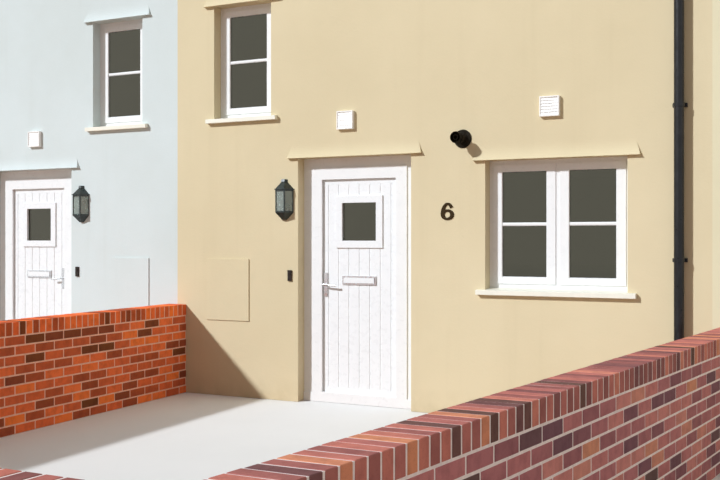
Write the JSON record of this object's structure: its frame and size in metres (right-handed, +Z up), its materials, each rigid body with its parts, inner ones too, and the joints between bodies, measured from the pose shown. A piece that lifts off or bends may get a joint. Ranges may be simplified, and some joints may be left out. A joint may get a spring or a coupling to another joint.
{
  "type": "terraced house row",
  "caption": "Row of handed terraced houses with rendered fronts, boarded front doors that open inward, a tiled pitched roof and brick garden walls.",
  "frame": {"origin": "on the ground under the middle of the middle house's floor", "axes": "+X along the row to the right as seen from the front, +Y from the front into the houses, +Z up"},
  "size_m": [15.15, 15.078, 8.6936],
  "materials": {
    "blue_render": "painted smooth render",
    "buff_render": "painted smooth render",
    "cream_render": "painted smooth render",
    "fittings_render": "painted render, in the colour of each house",
    "blockwork": "rendered blockwork",
    "concrete": "floated concrete",
    "floor_boards": "chipboard on joists",
    "plaster": "painted plasterboard",
    "roof_tiles": "dull tiles",
    "ridge_tiles": "dull half-round tiles",
    "white_boards": "satin white boards",
    "black_rainwater_plastic": "satin black",
    "glass": "clear double glazing",
    "white_joinery": "white satin paint",
    "white_door": "white satin paint",
    "steel_furniture": "polished",
    "black_iron": "black powder coat",
    "white_vent_plastic": "white",
    "black_flue_metal": "matt black",
    "black_bell_plastic": "dull",
    "red_brick": "multi red facing bricks",
    "coping_brick": "dark red and purple bricks on edge"
  },
  "bodies": {
    "row": {"party_walls": "blockwork", "left_front_wall_stair_side": "blue_render", "left_front_wall_over_door": "blue_render", "left_front_wall_window_side": "blue_render", "middle_front_wall_stair_side": "buff_render", "middle_front_wall_over_door": "buff_render", "middle_front_wall_window_side": "buff_render", "right_front_wall": "cream_render", "left_rear_wall": "blue_render", "middle_rear_wall": "buff_render", "right_rear_wall": "cream_render", "ground_floors": "concrete", "first_floors": "floor_boards", "ceilings": "plaster", "roof_front_slope": "roof_tiles", "roof_rear_slope": "roof_tiles", "ridge_capping": "ridge_tiles", "eaves_boards": "white_boards", "gutters": "black_rainwater_plastic", "downpipes": "black_rainwater_plastic", "bell_cast_drips": "fittings_render", "window_sills": "white_joinery", "window_frames": "white_joinery", "window_sashes": "white_joinery", "window_glass": "glass", "front_door_frames": "white_joinery", "right_door_leaf": "white_door", "right_door_glass": "glass", "right_door_furniture": "steel_furniture", "front_door_hinges": "steel_furniture", "rear_doors": "white_door", "wall_lanterns": "black_iron", "lantern_glass": "glass", "meter_box_covers": "fittings_render", "wall_vents": "white_vent_plastic", "flue_terminals": "black_flue_metal", "bell_pushes": "black_bell_plastic", "garden_walls": "red_brick", "garden_wall_copings": "coping_brick"},
    "left_door": {"left_door_leaf": "white_door", "left_door_glass": "glass", "left_door_furniture": "steel_furniture"},
    "middle_door": {"middle_door_leaf": "white_door", "middle_door_glass": "glass", "middle_door_furniture": "steel_furniture"}
  },
  "joints": [
    {"name": "left_door_hinge", "type": "hinge", "parent": "row", "child": "left_door", "pos_m": [-4.87825, -4.021, 0.0815], "axis": [0, 0, 1], "range_deg": [0, 90]},
    {"name": "middle_door_hinge", "type": "hinge", "parent": "row", "child": "middle_door", "pos_m": [-0.17175, -4.021, 0.0815], "axis": [0, 0, -1], "range_deg": [0, 90]}
  ]
}
